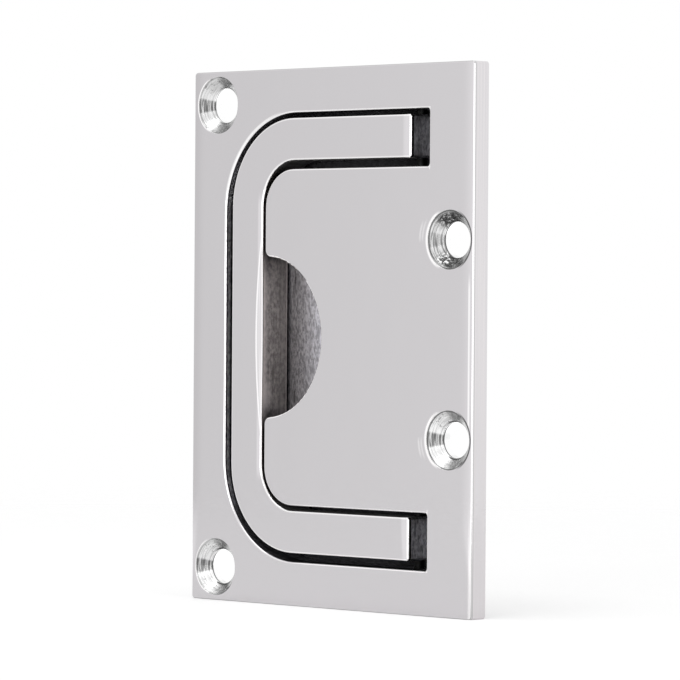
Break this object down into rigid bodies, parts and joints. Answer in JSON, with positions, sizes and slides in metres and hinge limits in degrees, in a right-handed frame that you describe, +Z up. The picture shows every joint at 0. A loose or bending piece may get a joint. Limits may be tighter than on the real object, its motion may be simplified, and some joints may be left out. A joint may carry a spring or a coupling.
{
  "type": "flush lift pull handle",
  "caption": "Flush lift pull: polished steel plate with a C-shaped handle that lies in a channel and swings out on hinge pins, with a half-round finger recess and countersunk screw holes.",
  "frame": {"origin": "centre of the plate on its back face, which lies against the door", "axes": "+Z up along the plate's long side, +X from the bail side to the hinge side, +Y out of the back of the plate into the door, so the polished face looks along -Y"},
  "size_m": [0.056, 0.0076, 0.076],
  "materials": {
    "polished_plate": "mirror polished stainless casting, as cast inside the channel and behind",
    "polished_handle": "mirror polished stainless, duller on the sides",
    "pin_steel": "drawn stainless"
  },
  "bodies": {
    "plate": {"mounting_plate": "polished_plate", "upper_hinge_pin": "pin_steel", "lower_hinge_pin": "pin_steel"},
    "handle": {"lift_handle": "polished_handle"}
  },
  "joints": [
    {"name": "handle_lift", "type": "hinge", "parent": "plate", "child": "handle", "pos_m": [0.01431, 0.0009, 0], "axis": [0, 0, 1], "range_deg": [0, 90]}
  ]
}
